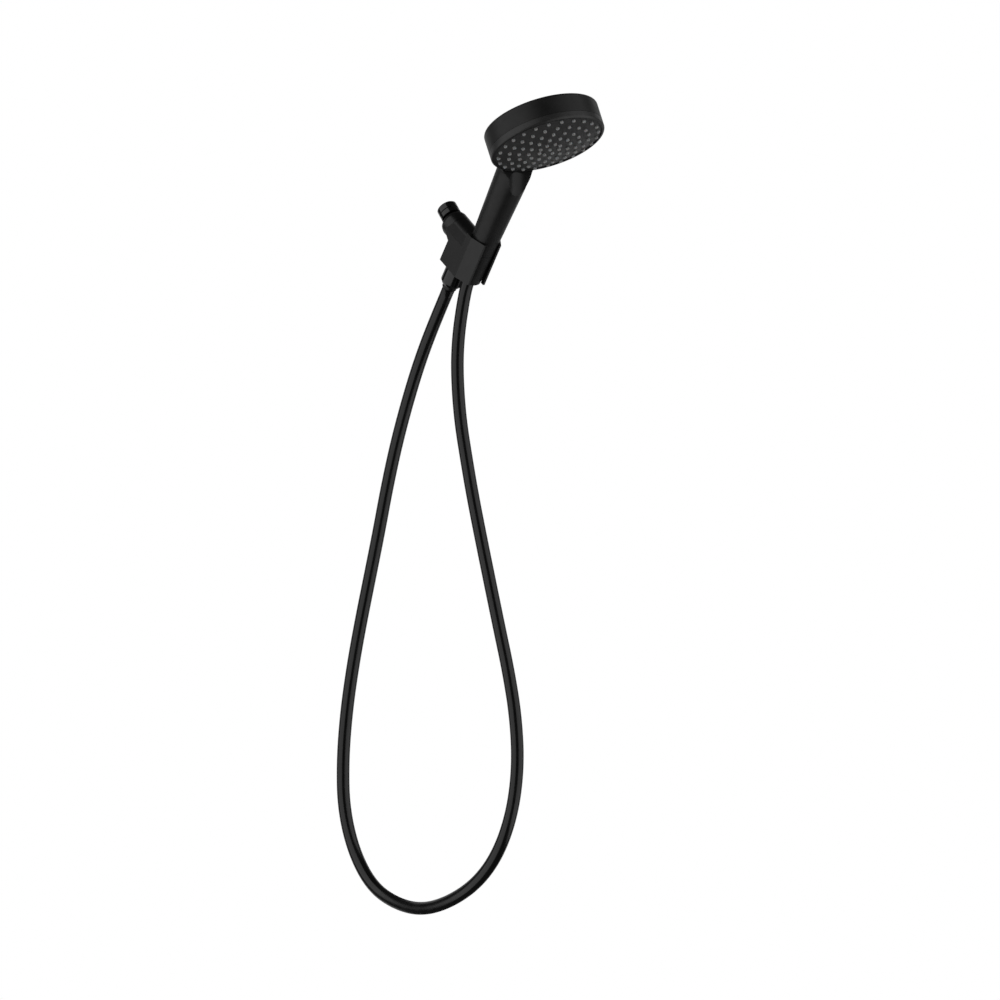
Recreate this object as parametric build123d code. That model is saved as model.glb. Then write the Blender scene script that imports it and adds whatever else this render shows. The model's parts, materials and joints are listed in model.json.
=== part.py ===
from build123d import *
import math
import os

# Handheld shower head on its pipe bracket, with the hose that joins the two.
# World frame: +Z up, the spray side looks towards -Y, X is the width.
# The origin lies on the inlet axis, 1 mm inside the free end of its spigot.

# ---- driving dimensions, in millimetres and degrees ----
GAP = 0.3                   # between parts that move past each other
FIT = 0.05                  # radial gap of a turned fit
LEAN = 35.1                 # handle's lean forward from the vertical
AXIS_BACK = 70.6            # inlet end to handle axis, square to the handle

THREAD_R = 10.48            # G 1/2 male thread, major radius
THREAD_PITCH = 1.814
THREAD_DEPTH = 0.55

HEAD_R = 60.0               # spray head
HEAD_TILT = 27.1            # spray face from the handle's line
HEAD_BACK = (-5.9, 163.06)  # middle of the head's back, in the handle frame
WALL_DEPTH = 20.7           # fixed wall, from the back to the turning ring
BACK_ROUND = 2.5
SHELL_T = 2.6
RING_DEPTH = 7.9
RING_ROUND = 2.6
RING_LEDGE = (4.0, 23.6)    # ledge behind the spray face: its width, and the height of its front
FACE_R = 56.4
FACE_RIM = 28.4             # spray face height at the outer ring of nozzles
DOME_R = 268.0
FACE_T = 2.2
MAT_T = 1.4
NOZZLE_RINGS = ((52.6, 24), (42.3, 20), (32.1, 16), (21.9, 12), (11.2, 8))
NOZZLE_PHASE = -3.3         # turn of the nozzle pattern as the ring stands
NOZZLE_R = 1.8
NOZZLE_TIP_R = 1.45
NOZZLE_ROUND = 0.5
NOZZLE_BORE = 0.5
NOZZLE_PROUD = 1.8

HANDLE_BASE = -2.0          # lower end of the handle, along its axis
HANDLE_TOP = 112.0
HANDLE_R25 = 15.0           # handle radius 25 mm up its axis
HANDLE_TAPER = 0.0403       # radius gained per mm
SCOOP_R = 16.0              # spoon-shaped hollow under the spray face
SCOOP_LEAN = 31.3
SCOOP_TOP = (-17.0, 104.8)
SCOOP_DOWN = 18.0
NECK_FLARE = 4.5            # how far the handle widens under the ring
NECK_FLARE_AT = (94.0, 101.5)

TUBE_R = 5.0                # water tube in the handle
TUBE_BORE = 3.8
TUBE_FOOT = (0.0, 2.0)
TUBE_HEAD = (10.2, 110.0)

MANIFOLD_R = 54.5           # fixed water chamber in the head
PLATE = (4.0, 7.0)
CHAMBER_RIM = 17.0
CHAMBER_WALL = 2.5
CHAMBER_SEAL_TOP = 18.2
POST_R = 6.0
SCREW_CIRCLE = 34.0
SCREW_R = 1.35              # manifold screws
SCREW_HEAD = (2.8, 1.8)     # head radius, and its height over the plate
SCREW_SLOT = (3.2, 0.7)
CENTRE_R = 1.55             # screw that the distributor turns on
CENTRE_HEAD = (3.4, 22.2)   # head radius, and the height of its top
CENTRE_SLOT = (4.0, 0.8)
CENTRE_FOOT = 8.0
DISTRIBUTOR = (18.3, 20.3)
DISTRIBUTOR_SLOTS = ((46.0, 2.6), (22.0, 1.8))
DETENT_PLACE = 30.0
DETENT_BALL = (1.8, 16.35)  # radius, and height of its middle
DETENT_TURN = 60.0          # between one spray and the next
SPRING_R = 1.6
SPRING_WIRE = 0.3
SPRING_TOP = 14.4
SPRING_TURNS = 4

BLOCK_HALF = 18.3           # bracket
BLOCK_BACK = 31.8
BLOCK_BOTTOM = -35.6
BLOCK_TOP = 4.0
BLOCK_CORNER = 1.5
HOUSING_BACK = 40.8         # the block reaches further back round the ball
HOUSING_LOW = -6.5
HOUSING_SLOPE = 5.0
BLOCK_STEP = 8.6            # where the low back part of the block begins
BLOCK_BEVEL = 7.8           # runs down to the block's sides from its round back
CRADLE_TOP = 13.0
LIP_OUTER = 0.1
LIP_INNER = (10.7, -14.1)
SLOT_HALF = 8.5
SLOT_REACH = 40.0
CUT_REACH = 60.0            # size of the boxes that cut the block to shape
CRADLE_GAP = 0.4

INLET_TILT = 12.36          # inlet axis below the bracket's own axis
INLET_END = -1.0            # the spigot starts this far behind the origin
INLET_THREAD = 11.5
INLET_GROOVE = (5.6, 6.8)
INLET_BORE = 4.0
BALL_AT = 25.0              # inlet end to the middle of the ball
BALL_R = 9.6
LINER_T = 0.7
NECK_R = 6.0
JOINT_NUT_R = 14.2          # union nut over the ball, and the block's round back
JOINT_NUT_NOSE = ((14.2, 4.5), (13.3, 7.6), (11.4, 9.8))
JOINT_NUT_SEAT = (-1.0, 3.0)
BOSS_R = 12.3
BOSS_END = -1.3
BALL_SEAL_R = 8.6
BALL_SEAL = (-11.3, -6.0)
BRACKET_DUCTS = (-25.0, -5.0)
TILT_FREE = 15.0            # how far the ball joint leans off its axis

OUTLET_STEM_R = 7.0
OUTLET_STEM_TOP = -24.0
OUTLET_NECK_R = 8.4         # clears the foot of the cone nut
OUTLET_THREAD = (-45.3, -38.4)
OUTLET_BACK = 21.4          # hose outlet axis behind the handle axis
VALVE_PLACE = (-43.0, -30.1)
VALVE_R = 5.45
VALVE_WALL = 1.25
VALVE_FLOOR = 1.9
VALVE_PIN_R = 1.2
VALVE_PORT = (0.9, 2.8)     # radius of a port, and of the circle they lie on
HOSE_NUT_R = 11.4
HOSE_NUT_SEAT = -48.8
HOSE_NUT_FOOT = ((11.4, -56.0), (9.6, -58.8), (9.0, -59.6))
WASHER_R = (4.5, 9.6)
HOSE_R = 6.5
TAIL_BORE = 3.0
TAIL_BARB = (3.7, 4.2)
TAIL_FLANGE = 1.6
FERRULE_R = 7.5
FERRULE_BORE = 4.25
CRIMP = 0.35                # depth of the ferrule's waist and of its end chamfer
CONE_FOOT = -38.0
CONE_SEAT = -14.3
CONNECTOR = (-9.5, 12.0)
CONNECTOR_SEAL = (8.0, 10.2)
CONNECTOR_BORE = 6.5
REGULATOR = (-8.5, -4.5)
REGULATOR_PORT = (0.8, 4.3)
HOSE_START = -64.3          # hose end at the bracket, along its outlet axis
HOSE_END = -24.3            # hose end in the cone nut, along the handle axis

# Hose route between its two straight ends, as (forward, up) in the middle
# plane, from the bracket down, round the loop and up to the handle.
HOSE_ROUTE = (
    (-22.0, -116.9), (-45.9, -155.6), (-66.3, -196.1), (-84.5, -237.9), (-100.2, -281.9),
    (-113.9, -327.0), (-128.7, -371.9), (-143.7, -416.9), (-157.2, -461.9), (-168.5, -510.0),
    (-174.6, -559.0), (-173.2, -608.0), (-155.4, -653.2), (-125.0, -687.5), (-83.9, -704.9),
    (-40.0, -710.8), (7.5, -701.8), (53.0, -682.2), (87.0, -652.6), (110.0, -611.2),
    (119.3, -564.0), (115.2, -515.0), (103.0, -469.1), (87.6, -425.0), (73.0, -382.0),
    (57.9, -337.1), (43.6, -293.1), (33.6, -258.0), (21.6, -212.0), (16.7, -165.0),
    (18.9, -130.0), (26.6, -97.0), (33.9, -75.2),
)
RADIUS_SHARE = 0.45         # of the shorter run, taken up by each bend
OUT = "parts"

# ---- the frames that the pieces are drawn in ----
lean = math.radians(LEAN)
UP_HANDLE = Vector(0, -math.sin(lean), math.cos(lean))
OUT_FRONT = Vector(0, -math.cos(lean), -math.sin(lean))
HANDLE = Plane(origin=OUT_FRONT * AXIS_BACK, x_dir=(1, 0, 0), z_dir=UP_HANDLE).location
HEAD = HANDLE * Plane(
    origin=(0, *HEAD_BACK),
    x_dir=(1, 0, 0),
    z_dir=(0, -math.cos(math.radians(HEAD_TILT)), -math.sin(math.radians(HEAD_TILT))),
).location
IN_DOWN = lean + math.radians(INLET_TILT)
IN_AXIS = Vector(0, -math.cos(IN_DOWN), -math.sin(IN_DOWN))
INLET = Plane(origin=(0, 0, 0), x_dir=(1, 0, 0), z_dir=IN_AXIS).location
BALL = Plane(origin=IN_AXIS * BALL_AT, x_dir=(1, 0, 0), z_dir=OUT_FRONT * -1).location
OUTLET = HANDLE * Pos(0, OUTLET_BACK, 0)
TUBE_DIR = Vector(0, TUBE_HEAD[0] - TUBE_FOOT[0], TUBE_HEAD[1] - TUBE_FOOT[1])
TUBE = HANDLE * Plane(origin=(0, *TUBE_FOOT), x_dir=(1, 0, 0), z_dir=TUBE_DIR).location
TUBE_LENGTH = TUBE_DIR.length


def put(name, shape):
    """Write one node."""
    shape.label = name
    export_step(shape, f"{OUT}/{name}.step")


def turned(*points):
    """A solid of revolution about Z from its (radius, height) outline."""
    outline = make_face(Polyline(*points, close=True))
    return revolve(Plane.XZ * outline, Axis.Z)


def tube(inner, outer, low, high):
    """A plain tube, or a rod where inner is 0."""
    return turned((inner, low), (outer, low), (outer, high), (inner, high))


def threaded(inner, outer, low, high):
    """A male thread drawn as rings at the thread's pitch."""
    count = int((high - low) / THREAD_PITCH)
    pitch = (high - low) / count
    outline = [(inner, low)]
    for turn in range(count):
        foot = low + turn * pitch
        outline.append((outer - THREAD_DEPTH, foot))
        outline.append((outer, foot + 0.35 * pitch))
        outline.append((outer, foot + 0.65 * pitch))
    outline.append((outer - THREAD_DEPTH, high))
    outline.append((inner, high))
    return turned(*outline)


def handle_radius(height):
    """Radius of the tapered handle at a height."""
    return HANDLE_R25 + (height - 25) * HANDLE_TAPER


def dome(radius, low, outer_drop, inner_drop):
    """A domed disc between two spheres about the spray face's centre."""
    centre = FACE_RIM - math.sqrt(DOME_R**2 - NOZZLE_RINGS[0][0] ** 2)
    disc = tube(0, radius, low, centre + DOME_R + 1)
    ball = Pos(0, 0, centre) * Sphere(DOME_R - outer_drop)
    core = Pos(0, 0, centre) * Sphere(DOME_R - inner_drop)
    return (disc & ball) - core


def face_height(radius):
    """Height of the spray face at a radius, in the head frame."""
    drop = math.sqrt(DOME_R**2 - NOZZLE_RINGS[0][0] ** 2)
    return FACE_RIM - drop + math.sqrt(DOME_R**2 - radius**2)


def nozzle_places():
    """Every nozzle as (x, y, radius from the head's axis)."""
    places = [(0.0, 0.0, 0.0)]
    for radius, count in NOZZLE_RINGS:
        for index in range(count):
            turn = math.radians(90 - NOZZLE_PHASE + 360 * index / count)
            places.append((radius * math.cos(turn), radius * math.sin(turn), radius))
    return places


# ---- inlet: what screws into the pipe ----
def inlet_nipple():
    """Spigot, neck and ball in one turned piece, with a key socket in its end."""
    end, groove_low, groove_high = INLET_END, INLET_GROOVE[0], INLET_GROOVE[1]
    body = turned(
        (0, end), (THREAD_R - 0.8, end), (THREAD_R, end + 0.8), (THREAD_R, groove_low),
        (THREAD_R - 0.8, groove_low), (THREAD_R - 0.8, groove_high),
        (THREAD_R, groove_high), (THREAD_R, INLET_THREAD), (NECK_R, INLET_THREAD),
        (NECK_R, BALL_AT), (0, BALL_AT),
    )
    body += Pos(0, 0, BALL_AT) * Sphere(BALL_R)
    key_socket = Pos(0, 0, end) * extrude(RegularPolygon(6.5, 6), 7)
    body -= key_socket + tube(0, INLET_BORE, end, BALL_AT + BALL_R)
    return INLET * body


def inlet_filter():
    """A strainer cup pushed into the inlet's bore."""
    cup = tube(0, INLET_BORE - FIT, 8, 13)
    cup -= tube(0, INLET_BORE - 0.8, 7, 12.2)
    for turn in range(6):
        cup -= Rot(0, 0, 60 * turn) * Pos(1.8, 0, 12.6) * Cylinder(0.5, 2)
    return INLET * cup


def ball_liner():
    """Slippery spherical liner that the ball turns in."""
    shell = Sphere(BALL_R + FIT + LINER_T) - Sphere(BALL_R + FIT)
    shell &= tube(0, BALL_R + 2, -4, 4)
    return INLET * Pos(0, 0, BALL_AT) * shell


# ---- bracket ----
SOCKET_R = BALL_R + LINER_T + 3 * FIT
BALL_BACK = AXIS_BACK - BALL_AT * math.cos(math.radians(INLET_TILT))


def ball_joint_nut():
    """Union nut over the ball; its axis runs out of the block's back."""
    low = HOUSING_BACK - BALL_BACK + GAP
    mouth = JOINT_NUT_NOSE[-1][1]
    seat_low, seat_high = JOINT_NUT_SEAT
    slope = math.tan(math.radians(TILT_FREE))
    opening = NECK_R / math.cos(math.radians(TILT_FREE)) + GAP
    nut = turned(
        (BOSS_R + FIT, low), (JOINT_NUT_R, low), *JOINT_NUT_NOSE,
        (opening + slope * mouth, mouth), (opening + slope * seat_high, seat_high),
        (0, seat_high), (0, seat_low), (BOSS_R + FIT, seat_low),
    )
    return BALL * (nut - Sphere(SOCKET_R))


def ball_seal():
    """Rubber seat behind the ball."""
    ring = tube(INLET_BORE + 1, BALL_SEAL_R, *BALL_SEAL)
    return BALL * (ring - Sphere(SOCKET_R))


def bracket_outline():
    """Cross-section of the block and the two lips of its cradle."""
    side, lip_x, lip_y = BLOCK_HALF, LIP_INNER[0], LIP_INNER[1]
    return make_face(Polyline(
        (-side, BLOCK_BACK), (-side, LIP_OUTER), (-lip_x, lip_y),
        (lip_x, lip_y), (side, LIP_OUTER), (side, BLOCK_BACK), close=True,
    ))


def ball_housing():
    """Upper part of the block, which reaches further back over the ball."""
    front = BLOCK_BACK - 2 * BLOCK_CORNER
    outline = make_face(Polyline(
        (front, BLOCK_TOP), (HOUSING_BACK, BLOCK_TOP), (HOUSING_BACK, HOUSING_LOW),
        (BLOCK_BACK, HOUSING_LOW - HOUSING_SLOPE), (front, HOUSING_LOW - HOUSING_SLOPE), close=True,
    ))
    return extrude(Plane.YZ * outline, BLOCK_HALF, both=True)


def cradle_hollow():
    """What the cone nut and the handle sit in, open at the front."""
    low, high = BLOCK_BOTTOM - 1, CRADLE_TOP + 1
    hollow = turned(
        (0, low), (handle_radius(low) + CRADLE_GAP, low),
        (handle_radius(high) + CRADLE_GAP, high), (0, high),
    )
    slot = Box(2 * SLOT_HALF, SLOT_REACH, high - low)
    return hollow + Pos(0, -SLOT_REACH / 2, (low + high) / 2) * slot


def bracket_body():
    """Block with the ball's socket behind, the cradle in front and the hose outlet below."""
    block = Pos(0, 0, BLOCK_BOTTOM) * extrude(bracket_outline(), CRADLE_TOP - BLOCK_BOTTOM)
    upright = block.edges().filter_by(Axis.Z)
    block = fillet(upright.filter_by_position(Axis.Y, BLOCK_BACK - 1, BLOCK_BACK + 1), BLOCK_CORNER)
    behind = Pos(0, BLOCK_STEP + CUT_REACH / 2, BLOCK_TOP + CUT_REACH / 2)
    block -= behind * Box(CUT_REACH, CUT_REACH, CUT_REACH)
    block += ball_housing()
    bevel = BLOCK_BEVEL * math.sqrt(2)
    for side in (-1, 1):
        corner = Pos(side * BLOCK_HALF, BLOCK_STEP + CUT_REACH / 2, BLOCK_TOP)
        block -= corner * Rot(0, 45, 0) * Box(bevel, CUT_REACH, bevel)
    front, back = BLOCK_STEP - BALL_BACK, HOUSING_BACK - BALL_BACK
    block = HANDLE * block + BALL * tube(0, JOINT_NUT_R - FIT, front, back)
    block -= HANDLE * cradle_hollow()
    block += BALL * threaded(0, BOSS_R, back, BOSS_END)
    low, high = BRACKET_DUCTS
    block -= BALL * (Sphere(SOCKET_R) + tube(0, BALL_SEAL_R + FIT, BALL_SEAL[0] - FIT, BOSS_END - 1))
    block -= BALL * tube(0, INLET_BORE, low, high)
    block -= OUTLET * tube(0, OUTLET_STEM_R + FIT, BLOCK_BOTTOM - 1, OUTLET_STEM_TOP)
    block -= OUTLET * tube(0, INLET_BORE, low, high + 1)
    return block


def outlet_nipple():
    """Brass nipple pressed into the block, with a neck and a male thread for the hose nut."""
    low, high = OUTLET_THREAD
    valve_end = VALVE_PLACE[1] + 2 * FIT
    body = tube(0, OUTLET_STEM_R, high - 1, OUTLET_STEM_TOP - GAP)
    body += tube(0, OUTLET_NECK_R, high - 1, BLOCK_BOTTOM - 2 * FIT)
    body += threaded(0, THREAD_R - FIT, low, high)
    body -= tube(0, VALVE_R + FIT, low - 1, valve_end)
    body -= tube(0, INLET_BORE, valve_end - 1, OUTLET_STEM_TOP + 1)
    return OUTLET * body


def check_valve():
    """Non-return cartridge in the outlet nipple: a cup with four ports and a guide pin."""
    low, high = VALVE_PLACE
    port_r, port_circle = VALVE_PORT
    body = tube(0, VALVE_R, low, high) - tube(0, VALVE_R - VALVE_WALL, low - 1, high - VALVE_FLOOR)
    body += tube(0, VALVE_PIN_R, low + 1, high - VALVE_FLOOR / 2)
    port = Pos(port_circle, 0, high - VALVE_FLOOR / 2) * Cylinder(port_r, 2 * VALVE_FLOOR)
    for turn in range(4):
        body -= Rot(0, 0, 90 * turn) * port
    return OUTLET * body


# ---- hose ends ----
def hose_washer(low, high):
    """Flat washer between a nut's seat and the flange of a hose tail."""
    return tube(*WASHER_R, low, high)


def hose_nut():
    """Smooth nut that holds the hose on the bracket's outlet."""
    top, foot = OUTLET_THREAD[1] - 2 * FIT, HOSE_NUT_FOOT[-1][1]
    return OUTLET * turned(
        (THREAD_R + FIT, top), (HOSE_NUT_R - GAP, top), (HOSE_NUT_R, top - GAP),
        *HOSE_NUT_FOOT, (FERRULE_R + FIT, foot),
        (FERRULE_R + FIT, HOSE_NUT_SEAT), (THREAD_R + FIT, HOSE_NUT_SEAT),
    )


def hose_tail(frame, flange_top, hose_end):
    """Brass insert: a flange, and a barbed stem into the hose."""
    stem_top, stem_low = flange_top - TAIL_FLANGE, hose_end + 2 * GAP
    body = tube(TAIL_BORE, WASHER_R[1], stem_top, flange_top)
    barbs = 4
    pitch = (stem_top - stem_low) / barbs
    for barb in range(barbs):
        high = stem_top - barb * pitch
        body += turned((TAIL_BORE, high - pitch), (TAIL_BARB[0], high - pitch),
                       (TAIL_BARB[1], high), (TAIL_BORE, high))
    return frame * body


def ferrule(frame, high, hose_end):
    """Crimped sleeve round the barbs, above the hose's end."""
    waist = FERRULE_R - CRIMP
    middle = (high + hose_end) / 2
    return frame * turned(
        (FERRULE_BORE, hose_end + GAP), (waist, hose_end + GAP),
        (FERRULE_R, hose_end + 1), (FERRULE_R, middle - 1.5), (waist, middle - 1),
        (waist, middle + 1), (FERRULE_R, middle + 1.5), (FERRULE_R, high), (FERRULE_BORE, high),
    )


def on_axis(frame, height):
    """The point at a height on a frame's Z axis."""
    return (frame * Pos(0, 0, height)).position


def hose():
    """The hose as one swept tube, straight between its bends."""
    points = [on_axis(OUTLET, HOSE_START)]
    points += [Vector(0, -forward, up) for forward, up in HOSE_ROUTE]
    points.append(on_axis(HANDLE, HOSE_END))
    radii = []
    for before, here, after in zip(points, points[1:], points[2:]):
        turn = math.radians((here - before).get_angle(after - here))
        run = min((here - before).length, (after - here).length)
        radii.append(RADIUS_SHARE * run / math.tan(turn / 2))
    path = FilletPolyline(*points, radius=radii)
    section = Plane(origin=path @ 0, z_dir=path % 0) * Circle(HOSE_R)
    solid = sweep(section, path=path)
    print("hose length", round(path.length, 1), "bend radii", [round(r) for r in radii])
    print("volume ratio", round(solid.volume / (math.pi * HOSE_R**2 * path.length), 4))
    return solid


# ---- cone nut and handle ----
def cone_nut():
    """Nut at the handle's foot that carries on its taper."""
    top, seat = HANDLE_BASE - GAP, CONE_SEAT
    nut = turned(
        (THREAD_R + FIT, top), (handle_radius(top), top),
        (handle_radius(CONE_FOOT + 1), CONE_FOOT + 1), (handle_radius(CONE_FOOT) - 0.9, CONE_FOOT),
        (WASHER_R[1], CONE_FOOT), (FERRULE_R + 2 * GAP, CONE_FOOT + 8),
        (FERRULE_R + 2 * GAP, seat - 3), (FERRULE_R + 0.2, seat - 3), (FERRULE_R + 0.2, seat),
        (THREAD_R + FIT, seat),
    )
    return HANDLE * nut


def swivel_ring():
    """Plastic bearing ring that lets the handle turn on the hose end."""
    return HANDLE * tube(FERRULE_R + 0.2, THREAD_R - FIT, CONE_SEAT + FIT, CONE_SEAT + 1.1)


def handle_connector():
    """Threaded plug in the handle's foot, with a groove for its seal and a socket for the tube."""
    low, high = CONNECTOR
    plug_r = handle_radius(HANDLE_BASE) - SHELL_T - FIT
    body = threaded(0, THREAD_R - FIT, low, HANDLE_BASE)
    body += tube(0, plug_r, HANDLE_BASE, high)
    body -= tube(WASHER_R[1], plug_r + 1, *CONNECTOR_SEAL)
    body -= tube(0, CONNECTOR_BORE, low - 1, HANDLE_BASE + 1)
    body -= tube(0, TUBE_BORE, HANDLE_BASE, TUBE_FOOT[1] + 1)
    return HANDLE * body - TUBE * tube(0, TUBE_R + FIT, 0, high + 2)


def connector_seal():
    """O-ring in the connector's groove."""
    low, high = CONNECTOR_SEAL
    outer = handle_radius(HANDLE_BASE) - SHELL_T - FIT
    return HANDLE * tube(WASHER_R[1] + FIT, outer, low + 2 * FIT, high - 2 * FIT)


def flow_regulator():
    """Disc with eight ports that limits the flow."""
    low, high = REGULATOR
    port_r, port_circle = REGULATOR_PORT
    body = tube(0, CONNECTOR_BORE - FIT, low, high)
    port = Pos(port_circle, 0, (low + high) / 2) * Cylinder(port_r, high - low + 2)
    for turn in range(8):
        body -= Rot(0, 0, 45 * turn) * port
    return HANDLE * body


def waterway_tube():
    """Tube that leads the water up through the handle."""
    return TUBE * tube(TUBE_BORE, TUBE_R, 0, TUBE_LENGTH)


def handset_shell():
    """Handle and head body moulded as one hollow piece."""
    base = HANDLE_BASE
    grip = turned((0, base), (handle_radius(base), base),
                  (handle_radius(HANDLE_TOP), HANDLE_TOP), (0, HANDLE_TOP))
    drum = tube(0, HEAD_R, 0, WALL_DEPTH)
    drum = fillet(drum.edges().group_by(Axis.Z)[0], BACK_ROUND)
    body = HANDLE * (grip + neck_flare()) + HEAD * drum
    body -= HEAD * tube(0, HEAD_R - SHELL_T, SHELL_T, WALL_DEPTH + 1)
    body -= HEAD * tube(0, HEAD_R + 0.45, WALL_DEPTH, 70)
    body -= HANDLE * scoop()
    inner = handle_radius(base) - SHELL_T
    body -= HANDLE * turned((0, base - 1), (inner, base - 1), (inner, 12),
                            (handle_radius(58) - SHELL_T, 58), (TUBE_R, 68), (0, 68))
    body -= TUBE * tube(0, TUBE_R + 0.6, 0, TUBE_LENGTH)
    for x, y in screw_places():
        body += HEAD * Pos(x, y, 0) * tube(1.4, 4, SHELL_T - 0.4, PLATE[0] - FIT)
    return body


def neck_flare():
    """The front half of the handle's top widens in an arc to meet the ring."""
    low, high = NECK_FLARE_AT
    inner = handle_radius(low)
    outer = inner + NECK_FLARE
    arc = TangentArc((inner, low), (outer, high), tangent=(0, 1))
    rest = Polyline((outer, high), (outer, HANDLE_TOP), (0, HANDLE_TOP), (0, low), (inner, low))
    flare = revolve(Plane.XZ * make_face(arc + rest), Axis.Z)
    front = Pos(0, -outer / 2, (low + HANDLE_TOP) / 2) * Box(2 * outer, outer, HANDLE_TOP - low)
    return flare & front


def scoop():
    """The hollow under the spray face, as a leaning capsule."""
    lean_back = math.radians(SCOOP_LEAN)
    axis = Vector(0, math.sin(lean_back), math.cos(lean_back))
    foot = Vector(0, *SCOOP_TOP) - axis * SCOOP_DOWN
    frame = Plane(origin=foot, x_dir=(1, 0, 0), z_dir=axis).location
    return frame * (Sphere(SCOOP_R) + tube(0, SCOOP_R, 0, SCOOP_DOWN + 4))


# ---- inside the head ----
def cross_recess(length, width):
    """Cross-shaped recess, 0.9 mm deep, for the head of a screw."""
    return Box(length, width, 1.8) + Box(width, length, 1.8)


def screw_places():
    """Where the manifold's three screws stand, as (x, y) in the head frame."""
    turns = [math.radians(90 + 120 * index) for index in range(3)]
    return [(SCREW_CIRCLE * math.cos(t), SCREW_CIRCLE * math.sin(t)) for t in turns]


def manifold():
    """Fixed water chamber: a cup with a post, a tube socket and a detent boss."""
    low, high = PLATE
    wall = MANIFOLD_R - CHAMBER_WALL
    pocket = DETENT_BALL[0] + GAP
    cup = turned((0, low), (MANIFOLD_R, low), (MANIFOLD_R, CHAMBER_RIM),
                 (wall, CHAMBER_RIM), (wall, high), (0, high))
    cup += tube(0, POST_R, high - 1, CHAMBER_RIM)
    cup += Pos(DETENT_PLACE, 0, 0) * tube(0, pocket + 1.5, high - 1, CHAMBER_RIM - 0.5)
    cup -= Pos(DETENT_PLACE, 0, 0) * tube(0, pocket, high + 1, CHAMBER_RIM)
    cup -= tube(0, CENTRE_R + FIT, low + 2, CHAMBER_RIM + 1)
    for x, y in screw_places():
        cup -= Pos(x, y, 0) * tube(0, SCREW_R + 3 * FIT, low - 1, high + 1)
    cup = HEAD * cup
    cup += TUBE * tube(0, TUBE_R + 1.4, TUBE_LENGTH - 4, TUBE_LENGTH + 4)
    cup -= TUBE * tube(0, TUBE_R + FIT, TUBE_LENGTH - 9, TUBE_LENGTH + 0.3)
    cup -= TUBE * tube(0, TUBE_BORE, TUBE_LENGTH, TUBE_LENGTH + 6)
    return cup & HEAD * tube(0, HEAD_R - SHELL_T - GAP, SHELL_T + GAP, CHAMBER_RIM)


def manifold_screws():
    """Three pan-head screws through the manifold's plate."""
    plate_top = PLATE[1]
    head_r, head_top = SCREW_HEAD[0], plate_top + SCREW_HEAD[1]
    screw = tube(0, SCREW_R, SHELL_T + 0.2, plate_top + 1)
    screw += tube(0, head_r, plate_top + FIT, head_top)
    screw -= Pos(0, 0, head_top) * cross_recess(*SCREW_SLOT)
    return Compound([HEAD * Pos(x, y, 0) * screw for x, y in screw_places()])


def chamber_seal():
    """Lip seal between the chamber's rim and the distributor."""
    inner, outer = MANIFOLD_R - CHAMBER_WALL + 2 * FIT, MANIFOLD_R - 2 * FIT
    return HEAD * tube(inner, outer, CHAMBER_RIM + FIT / 2, CHAMBER_SEAL_TOP)


def detent_spring():
    """Coil spring that presses the detent ball on the distributor."""
    low = PLATE[1] + 1.1 + SPRING_WIRE
    height = SPRING_TOP - SPRING_WIRE - low
    coil = Helix(pitch=height / SPRING_TURNS, height=height, radius=SPRING_R)
    wire = sweep(Plane(origin=coil @ 0, z_dir=coil % 0) * Circle(SPRING_WIRE), path=coil)
    return HEAD * Pos(DETENT_PLACE, 0, low) * wire


def detent_ball():
    """Ball that clicks into the distributor's dimples."""
    radius, middle = DETENT_BALL
    return HEAD * Pos(DETENT_PLACE, 0, middle) * Sphere(radius)


def centre_screw():
    """Screw in the chamber's post, which the distributor turns on."""
    disc_top = DISTRIBUTOR[1]
    head_r, head_top = CENTRE_HEAD
    screw = tube(0, CENTRE_R, CENTRE_FOOT, disc_top + 1)
    screw += tube(0, head_r, disc_top + 2 * FIT, head_top)
    return HEAD * (screw - Pos(0, 0, head_top) * cross_recess(*CENTRE_SLOT))


def distributor():
    """Turning valve disc, whose two rings of ports feed the nozzles."""
    low, high = DISTRIBUTOR
    disc = tube(CENTRE_R + 3 * FIT, MANIFOLD_R - GAP, low, high)
    for circle, radius in DISTRIBUTOR_SLOTS:
        for index in range(12):
            port = Pos(circle, 0, 0) * tube(0, radius, low - 1, high + 1)
            disc -= Rot(0, 0, 30 * index + 15) * port
    for index in (-1, 0, 1):
        dimple = Pos(DETENT_PLACE, 0, low - 0.2) * Sphere(1.2)
        disc -= Rot(0, 0, DETENT_TURN * index) * dimple
    return HEAD * disc


def selector_ring():
    """Turning ring that carries the spray face."""
    low = WALL_DEPTH + GAP
    high = WALL_DEPTH + RING_DEPTH
    ledge = FACE_R - RING_LEDGE[0]
    ring = turned((ledge, low), (HEAD_R, low), (HEAD_R, high),
                  (FACE_R + FIT, high), (FACE_R + FIT, RING_LEDGE[1]), (ledge, RING_LEDGE[1]))
    front = ring.edges().filter_by(GeomType.CIRCLE).group_by(Axis.Z)[-1]
    return HEAD * fillet(front.sort_by(SortBy.RADIUS)[-1], RING_ROUND)


def spray_face():
    """Domed face with a hole for every nozzle."""
    face = dome(FACE_R, 20, 0, FACE_T)
    holes = [Pos(x, y, 30) * Cylinder(NOZZLE_R + FIT, 16) for x, y, _ in nozzle_places()]
    return HEAD * (face - holes)


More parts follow.
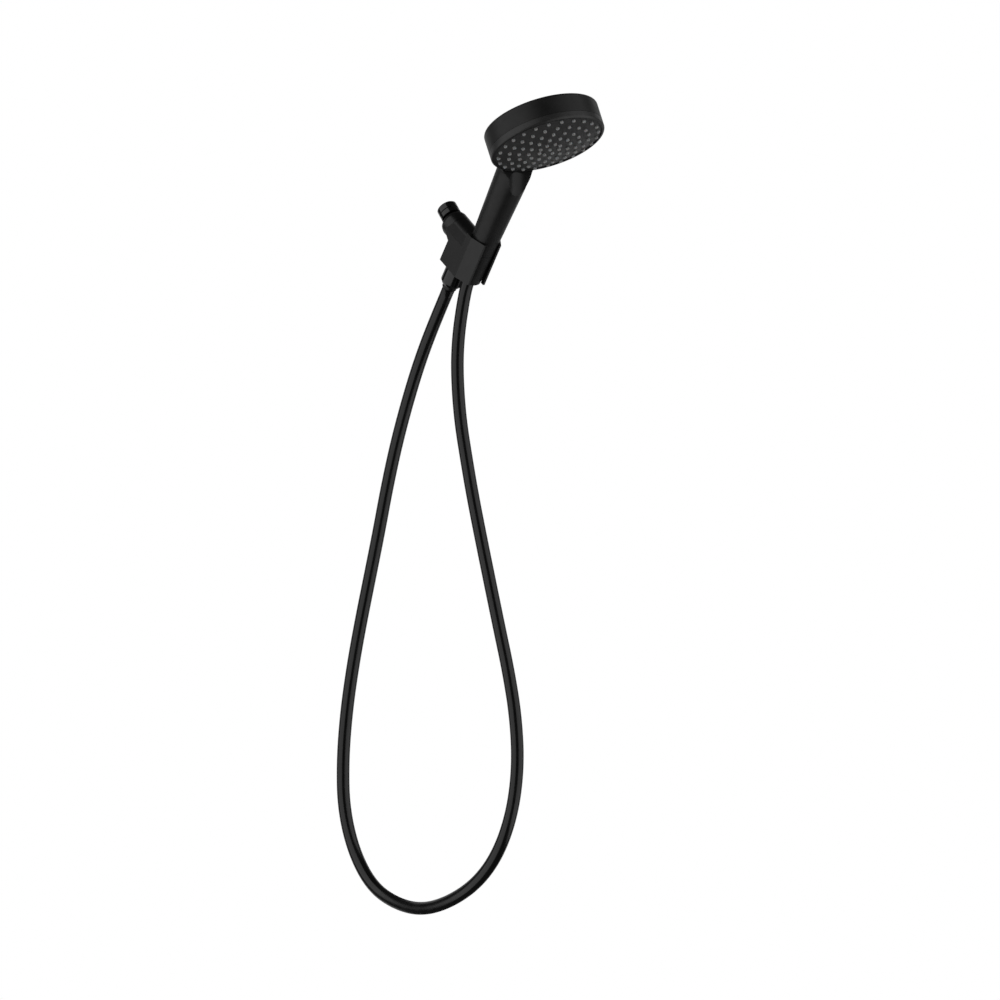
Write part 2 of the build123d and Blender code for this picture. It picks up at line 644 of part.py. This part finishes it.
def nozzle_mat():
    """Silicone mat whose nozzles stand through the spray face."""
    mat = dome(FACE_R - 0.6, 20, FACE_T + FIT, FACE_T + FIT + MAT_T)
    stems, bores = [], []
    for x, y, radius in nozzle_places():
        tip = face_height(radius) + NOZZLE_PROUD
        low = face_height(radius) - FACE_T - 1
        stem = turned((0, low), (NOZZLE_R, low), (NOZZLE_R, tip - NOZZLE_ROUND),
                      (NOZZLE_TIP_R, tip), (0, tip))
        stems.append(Pos(x, y, 0) * stem)
        bores.append(Pos(x, y, 30) * Cylinder(NOZZLE_BORE, 24))
    return HEAD * ((mat + stems) - bores)


def main():
    os.makedirs(OUT, exist_ok=True)
    put("inlet_nipple", inlet_nipple())
    put("inlet_filter", inlet_filter())
    put("ball_liner", ball_liner())
    put("ball_joint_nut", ball_joint_nut())
    put("ball_seal", ball_seal())
    put("bracket_body", bracket_body())
    put("outlet_nipple", outlet_nipple())
    put("check_valve", check_valve())
    put("hose_nut", hose_nut())
    put("hose_nut_washer", OUTLET * hose_washer(-47.1, -45.4))
    put("hose_tail_bracket", hose_tail(OUTLET, -47.15, HOSE_START))
    put("hose_ferrule_bracket", ferrule(OUTLET, -49.0, HOSE_START))
    put("hose", hose())
    put("hose_ferrule_handle", ferrule(HANDLE, -13.4, HOSE_END))
    put("hose_tail_handle", hose_tail(HANDLE, -11.6, HOSE_END))
    put("cone_nut_washer", HANDLE * hose_washer(-11.55, -9.6))
    put("swivel_ring", swivel_ring())
    put("cone_nut", cone_nut())
    put("handle_connector", handle_connector())
    put("connector_seal", connector_seal())
    put("flow_regulator", flow_regulator())
    put("waterway_tube", waterway_tube())
    put("handset_shell", handset_shell())
    put("manifold", manifold())
    put("manifold_screws", manifold_screws())
    put("chamber_seal", chamber_seal())
    put("detent_spring", detent_spring())
    put("detent_ball", detent_ball())
    put("centre_screw", centre_screw())
    put("distributor", distributor())
    put("selector_ring", selector_ring())
    put("spray_face", spray_face())
    put("nozzle_mat", nozzle_mat())


main()
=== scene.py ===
"""The looks of a black handheld shower head with its bracket and hose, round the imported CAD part.

Lengths are metres in the part's own frame: X is lateral, -Y is forward, Z is up. The origin lies on
the axis of the bracket's inlet, 1 mm inside its free end, where the part screws onto a pipe.
"""

import json
import math

import bpy
import numpy as np
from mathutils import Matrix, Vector


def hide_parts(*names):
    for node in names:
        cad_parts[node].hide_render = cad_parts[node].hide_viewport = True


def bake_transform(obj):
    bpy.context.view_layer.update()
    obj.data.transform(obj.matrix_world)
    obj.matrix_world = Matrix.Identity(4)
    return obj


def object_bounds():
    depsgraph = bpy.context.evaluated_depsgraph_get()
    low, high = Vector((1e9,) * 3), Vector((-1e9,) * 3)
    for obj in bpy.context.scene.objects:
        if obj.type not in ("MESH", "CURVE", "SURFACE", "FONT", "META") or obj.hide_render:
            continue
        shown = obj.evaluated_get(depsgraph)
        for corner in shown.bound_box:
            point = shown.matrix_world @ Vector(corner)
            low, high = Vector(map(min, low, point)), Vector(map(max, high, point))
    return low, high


MM = 0.001
WHITE = (1.0, 1.0, 1.0, 1.0)

# The camera looks level from the front left, with no perspective.
VIEW_AZIMUTH = math.radians(-37.2)
VIEW_WIDTH = 1.01266
VIEW_RIGHT = 0.0537
VIEW_HEIGHT = -0.2955
VIEW_DISTANCE = 3.0

# The studio: a pale floor some way below the part, a pale surround that throws little light, and
# four soft boxes round the part. Each box has its angle from the camera in degrees, its width, its
# height and its brightness.
FLOOR_DROP = 0.45
FLOOR_SIZE = 80.0
FLOOR_GLOW = 1.1
SURROUND_SEEN = 1.0
SURROUND_LIGHT = 0.04
BOX_DISTANCE = 2.6
SOFT_BOXES = {
    "soft_box_left": (-64.0, 4.4, 10.0, 0.80),
    "soft_box_right": (68.0, 4.4, 6.6, 0.80),
    "soft_box_back_left": (-153.0, 1.8, 3.4, 0.40),
    "soft_box_back_right": (153.0, 1.8, 3.4, 0.40),
}

# The hose hangs in one long loop. These are the control points of its line, as (forward, up) in
# millimetres, between its ends in the bracket's ferrule and the handset's.
HOSE_DIAMETER = 13.0 * MM
HOSE_START_DEPTH = 64.3 * MM
HOSE_END_DEPTH = 24.3 * MM
OUTLET_BEHIND = 21.4 * MM
HOSE_ROUTE = (
    (-22.0, -116.9), (-45.9, -155.6), (-66.3, -196.1), (-84.5, -237.9), (-100.2, -281.9),
    (-113.9, -327.0), (-128.7, -371.9), (-143.7, -416.9), (-157.2, -461.9), (-168.5, -510.0),
    (-174.6, -559.0), (-173.2, -608.0), (-155.4, -653.2), (-125.0, -687.5), (-83.9, -704.9),
    (-40.0, -710.8), (7.5, -701.8), (53.0, -682.2), (87.0, -652.6), (110.0, -611.2),
    (119.3, -564.0), (115.2, -515.0), (103.0, -469.1), (87.6, -425.0), (73.0, -382.0),
    (57.9, -337.1), (43.6, -293.1), (33.6, -258.0), (21.6, -212.0), (16.7, -165.0),
    (18.9, -130.0), (26.6, -97.0), (33.9, -75.2),
)

# The order of the hose's spline, its steps from one control point to the next, the sides of the tube
# round it, and the depths along the handle's axis between which the hose stretches.
HOSE_ORDER = 3
HOSE_STEPS = 10
HOSE_SIDES = 48

# Every finish: how finely its colour, its scuffs and its grain break up, how large the scuffs are
# beside the blotches of colour, and the part of the noise's range that is spread out.
COLOUR_DETAIL = 4.0
SCUFF_DETAIL = 5.0
GRAIN_DETAIL = 3.0
SCUFF_SHARE = 0.37
NOISE_LOW = 0.3
NOISE_HIGH = 0.7


# ---- node helpers ----

def add_node(tree, kind, inputs=(), **settings):
    """A new node with some of its settings and input values."""
    node = tree.nodes.new(kind)
    for name, value in settings.items():
        setattr(node, name, value)
    for name, value in dict(inputs).items():
        node.inputs[name].default_value = value
    return node


def object_point(tree):
    """The place of a point of the surface in its own piece, in metres."""
    return add_node(tree, "ShaderNodeTexCoord").outputs["Object"]


def noise(tree, size, detail):
    """Cloudy noise from 0 to 1 whose blotches are about `size` metres across."""
    node = add_node(tree, "ShaderNodeTexNoise", {"Scale": 1.0 / size, "Detail": detail})
    tree.links.new(object_point(tree), node.inputs["Vector"])
    return node.outputs["Fac"]


def spread(tree, value, low, high):
    """The middle of a noise's range, spread smoothly from low to high."""
    limits = {"From Min": NOISE_LOW, "From Max": NOISE_HIGH, "To Min": low, "To Max": high}
    node = add_node(tree, "ShaderNodeMapRange", limits, interpolation_type="SMOOTHSTEP")
    tree.links.new(value, node.inputs["Value"])
    return node.outputs["Result"]


def mixed_colour(tree, amount, first, second):
    """A colour from first to second as amount goes from 0 to 1."""
    node = add_node(tree, "ShaderNodeMix", data_type="RGBA")
    node.inputs["A"].default_value = (*first, 1.0)
    node.inputs["B"].default_value = (*second, 1.0)
    tree.links.new(amount, node.inputs["Factor"])
    return node.outputs["Result"]


def bumped(tree, height, depth):
    """A surface normal raised by `height`, which goes from 0 to 1, times depth metres."""
    node = add_node(tree, "ShaderNodeBump", {"Strength": 1.0, "Distance": depth})
    tree.links.new(height, node.inputs["Height"])
    return node.outputs["Normal"]


def grey(level):
    """A neutral colour."""
    return (level, level, level)


def finish_material(name, tones, roughness, blotch, grain, depth, sockets):
    """A surface whose colour and roughness drift over blotches and that has a fine raised grain.

    tones are its darkest and lightest colour, roughness its smoothest and roughest value, blotch and
    grain are sizes in metres, depth is the height of the grain, and sockets are plain shader values.
    """
    material = bpy.data.materials.new(name)
    material.use_nodes = True
    tree = material.node_tree
    shader = tree.nodes["Principled BSDF"]
    for socket, value in sockets.items():
        shader.inputs[socket].default_value = value
    drift = noise(tree, blotch, COLOUR_DETAIL)
    amount = spread(tree, drift, 0.0, 1.0)
    tree.links.new(mixed_colour(tree, amount, *tones), shader.inputs["Base Color"])
    scuffs = noise(tree, blotch * SCUFF_SHARE, SCUFF_DETAIL)
    tree.links.new(spread(tree, scuffs, *roughness), shader.inputs["Roughness"])
    normal = bumped(tree, noise(tree, grain, GRAIN_DETAIL), depth)
    tree.links.new(normal, shader.inputs["Normal"])
    return material


# ---- materials ----

def handset_black():
    """Satin black plastic of the handset's shell and cone nut, with a moulding's faint ripple."""
    return finish_material(
        "handset_black", (grey(0.009), grey(0.012)), (0.37, 0.45), 22 * MM, 0.9 * MM, 0.004 * MM,
        {"IOR": 1.5, "Specular IOR Level": 0.36},
    )


def ring_black():
    """The turning ring, a paler black than the shell and finer in grain."""
    return finish_material(
        "ring_black", (grey(0.018), grey(0.024)), (0.36, 0.44), 18 * MM, 0.35 * MM, 0.004 * MM,
        {"IOR": 1.5},
    )


def face_black():
    """Spark-eroded black plastic of the spray face."""
    return finish_material(
        "face_black", (grey(0.040), grey(0.050)), (0.42, 0.52), 15 * MM, 0.3 * MM, 0.005 * MM,
        {"IOR": 1.46},
    )


def nozzle_grey():
    """Soft grey silicone of the nozzles, with slightly paler patches."""
    return finish_material(
        "nozzle_grey", (grey(0.32), grey(0.40)), (0.50, 0.62), 6 * MM, 0.25 * MM, 0.006 * MM,
        {"IOR": 1.41, "Subsurface Weight": 0.05},
    )


def bracket_black():
    """Satin black lacquer of the bracket and its ball-joint nut."""
    return finish_material(
        "bracket_black", (grey(0.003), grey(0.005)), (0.28, 0.36), 20 * MM, 0.6 * MM, 0.004 * MM,
        {"IOR": 1.5},
    )


def gloss_black_brass():
    """Brass plated in glossy black, with the soft waviness of a polished turning."""
    return finish_material(
        "gloss_black_brass", (grey(0.002), grey(0.004)), (0.12, 0.20), 9 * MM, 1.6 * MM, 0.003 * MM,
        {"IOR": 1.5, "Coat Weight": 0.3, "Coat Roughness": 0.08},
    )


def black_ferrule():
    """Crimped sleeve of brass, plated in satin black."""
    return finish_material(
        "black_ferrule", (grey(0.010), grey(0.016)), (0.26, 0.36), 8 * MM, 0.5 * MM, 0.003 * MM,
        {"Metallic": 0.35},
    )


def brass():
    """Bare brass with a turned surface that has begun to tarnish."""
    return finish_material(
        "brass", ((0.60, 0.42, 0.17), (0.78, 0.58, 0.27)), (0.22, 0.38), 7 * MM, 0.3 * MM,
        0.003 * MM, {"Metallic": 1.0},
    )


def seal_rubber():
    """Black nitrile rubber, dull and a little patchy."""
    return finish_material(
        "seal_rubber", (grey(0.012), grey(0.022)), (0.55, 0.72), 5 * MM, 0.2 * MM, 0.006 * MM,
        {"IOR": 1.52},
    )


def white_plastic():
    """Natural acetal of the parts inside, slightly milky."""
    return finish_material(
        "white_plastic", ((0.66, 0.66, 0.62), (0.74, 0.74, 0.71)), (0.34, 0.46), 10 * MM, 0.4 * MM,
        0.004 * MM, {"IOR": 1.48, "Subsurface Weight": 0.08},
    )


def screw_steel():
    """Stainless steel with an uneven shine."""
    return finish_material(
        "screw_steel", (grey(0.50), grey(0.62)), (0.20, 0.34), 4 * MM, 0.15 * MM, 0.002 * MM,
        {"Metallic": 1.0},
    )


def hose_black():
    """Smooth satin skin of the hose, a little uneven over the braid under it."""
    return finish_material(
        "hose_black", (grey(0.003), grey(0.005)), (0.18, 0.25), 30 * MM, 1.2 * MM, 0.006 * MM,
        {"IOR": 1.5},
    )


MATERIALS = (
    handset_black, ring_black, face_black, nozzle_grey, bracket_black, gloss_black_brass,
    black_ferrule, brass, seal_rubber, white_plastic, screw_steel, hose_black,
)


def dress_nodes(frame, materials):
    """Gives every CAD node the material of its slot in the record."""
    for subpart in frame["record"]["subparts"]:
        mesh = frame["nodes"][subpart["node"]].data
        mesh.materials.clear()
        mesh.materials.append(materials[subpart["material_slot"]])


# ---- the hose ----

def along(axis, depth, behind=0.0):
    """The point `depth` below the origin of the handle's axis, moved backwards by `behind`."""
    backward = Vector((0.0, axis["up"].z, -axis["up"].y))
    return axis["origin"] - axis["up"] * depth + backward * behind


def route_line(axis):
    """The hose's smooth line, as points read from the spline of its route."""
    points = [along(axis, HOSE_START_DEPTH, OUTLET_BEHIND)]
    points += [Vector((0.0, -forward * MM, up * MM)) for forward, up in HOSE_ROUTE]
    points.append(along(axis, HOSE_END_DEPTH))
    curve = bpy.data.curves.new("hose_route", "CURVE")
    curve.dimensions = "3D"
    curve.resolution_u = HOSE_STEPS
    spline = curve.splines.new("NURBS")
    spline.points.add(len(points) - 1)
    for control, point in zip(spline.points, points):
        control.co = (*point, 1.0)
    spline.order_u = HOSE_ORDER
    spline.use_endpoint_u = True
    holder = bpy.data.objects.new("hose_route", curve)
    line = [vertex.co.copy() for vertex in bpy.data.meshes.new_from_object(holder).vertices]
    bpy.data.objects.remove(holder)
    return line


def tube_mesh(name, line, radius, sides):
    """A closed tube along a line that lies in one upright plane."""
    across = Vector((1.0, 0.0, 0.0))
    points = np.array(line)
    ahead = np.gradient(points, axis=0)
    vertices = []
    for point, direction in zip(line, ahead):
        outward = across.cross(Vector(direction)).normalized()
        for side in range(sides):
            turn = math.tau * side / sides
            vertices.append(point + radius * (math.cos(turn) * across + math.sin(turn) * outward))
    faces = []
    for ring in range(len(line) - 1):
        for side in range(sides):
            here = ring * sides + side
            beside = ring * sides + (side + 1) % sides
            faces.append((here, beside, beside + sides, here + sides))
    faces.append(tuple(reversed(range(sides))))
    faces.append(tuple(range(len(vertices) - sides, len(vertices))))
    mesh = bpy.data.meshes.new(name)
    mesh.from_pydata(vertices, [], faces)
    mesh.shade_smooth()
    return mesh


def make_hose(frame, materials):
    """One tube from the bracket's ferrule to the handset's."""
    turn = next(joint for joint in frame["joints"] if joint["name"] == "handset_turn")
    axis = {"origin": Vector(turn["pos_m"]), "up": Vector(turn["axis"])}
    line = route_line(axis)
    mesh = tube_mesh("hose_tube", line, HOSE_DIAMETER / 2, HOSE_SIDES)
    hose = bpy.data.objects.new("hose_tube", mesh)
    bpy.context.scene.collection.objects.link(hose)
    hose.data.materials.append(materials["hose_black"])
    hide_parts("hose")
    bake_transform(hose)


# ---- the studio ----

def view_axes():
    """The camera's right, and the level direction from the part back to the camera."""
    right = Vector((math.cos(VIEW_AZIMUTH), math.sin(VIEW_AZIMUTH), 0.0))
    back = Vector((math.sin(VIEW_AZIMUTH), -math.cos(VIEW_AZIMUTH), 0.0))
    return right, back


def make_camera():
    """A level camera that draws parallel lines parallel, as a catalogue view does."""
    right, back = view_axes()
    data = bpy.data.cameras.new("camera")
    data.type = "ORTHO"
    data.ortho_scale = VIEW_WIDTH
    camera = bpy.data.objects.new("camera", data)
    camera.location = right * VIEW_RIGHT + Vector((0.0, 0.0, VIEW_HEIGHT)) + back * VIEW_DISTANCE
    camera.rotation_euler = back.to_track_quat("Z", "Y").to_euler()
    bpy.context.scene.collection.objects.link(camera)
    bpy.context.scene.camera = camera


def camera_only(tree, seen, unseen):
    """The shader `seen` where the camera looks straight at it, and `unseen` for all other light."""
    path = add_node(tree, "ShaderNodeLightPath")
    mix = add_node(tree, "ShaderNodeMixShader")
    tree.links.new(path.outputs["Is Camera Ray"], mix.inputs["Fac"])
    tree.links.new(unseen.outputs[0], mix.inputs[1])
    tree.links.new(seen.outputs[0], mix.inputs[2])
    return mix.outputs[0]


def make_surround():
    """A white surround that throws only a little light, so that the soft boxes shape the part."""
    world = bpy.data.worlds.new("studio")
    world.use_nodes = True
    tree = world.node_tree
    seen = add_node(tree, "ShaderNodeBackground", {"Color": WHITE, "Strength": SURROUND_SEEN})
    unseen = add_node(tree, "ShaderNodeBackground", {"Color": WHITE, "Strength": SURROUND_LIGHT})
    tree.links.new(camera_only(tree, seen, unseen), tree.nodes["World Output"].inputs["Surface"])
    bpy.context.scene.world = world
    bpy.context.scene.view_settings.view_transform = "Standard"


def make_floor(low):
    """A plain pale floor below the part. Only the camera sees it, so it blocks no soft light."""
    half = FLOOR_SIZE / 2
    corners = [(-half, -half, low), (half, -half, low), (half, half, low), (-half, half, low)]
    mesh = bpy.data.meshes.new("floor")
    mesh.from_pydata(corners, [], [(0, 1, 2, 3)])
    floor = bpy.data.objects.new("floor", mesh)
    bpy.context.scene.collection.objects.link(floor)
    material = bpy.data.materials.new("floor")
    material.use_nodes = True
    tree = material.node_tree
    glow = add_node(tree, "ShaderNodeEmission", {"Color": WHITE, "Strength": FLOOR_GLOW})
    tree.links.new(glow.outputs["Emission"], tree.nodes["Material Output"].inputs["Surface"])
    mesh.materials.append(material)
    floor.visible_diffuse = False
    floor.visible_glossy = False
    floor.visible_transmission = False
    floor.visible_shadow = False


def make_soft_box(name, angle, width, height, light, centre):
    """A large soft light that faces the part, at an angle round it from the camera."""
    right, back = view_axes()
    turn = math.radians(angle)
    toward = back * math.cos(turn) + right * math.sin(turn)
    data = bpy.data.lights.new(name, "AREA")
    data.shape = "RECTANGLE"
    data.size = width
    data.size_y = height
    data.energy = light * math.pi * width * height
    box = bpy.data.objects.new(name, data)
    box.location = centre + toward * BOX_DISTANCE
    box.rotation_euler = toward.to_track_quat("Z", "Y").to_euler()
    box.visible_camera = False
    bpy.context.scene.collection.objects.link(box)


def make_studio(low, centre):
    """Floor, surround and lights."""
    make_surround()
    make_floor(low - FLOOR_DROP)
    for name, (angle, width, height, light) in SOFT_BOXES.items():
        make_soft_box(name, angle, width, height, light, centre)


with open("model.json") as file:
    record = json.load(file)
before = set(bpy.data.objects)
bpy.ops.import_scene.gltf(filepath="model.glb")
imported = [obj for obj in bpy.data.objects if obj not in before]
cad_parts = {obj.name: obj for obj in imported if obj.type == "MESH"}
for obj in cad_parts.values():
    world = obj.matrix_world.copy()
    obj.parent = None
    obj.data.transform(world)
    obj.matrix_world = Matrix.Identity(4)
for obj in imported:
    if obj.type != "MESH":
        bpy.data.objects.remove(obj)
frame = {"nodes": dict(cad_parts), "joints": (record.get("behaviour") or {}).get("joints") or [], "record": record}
cad_low, cad_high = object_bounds()
materials = {make.__name__: make() for make in MATERIALS}
dress_nodes(frame, materials)
make_camera()
make_hose(frame, materials)
make_studio(cad_low.z, (cad_low + cad_high) / 2)
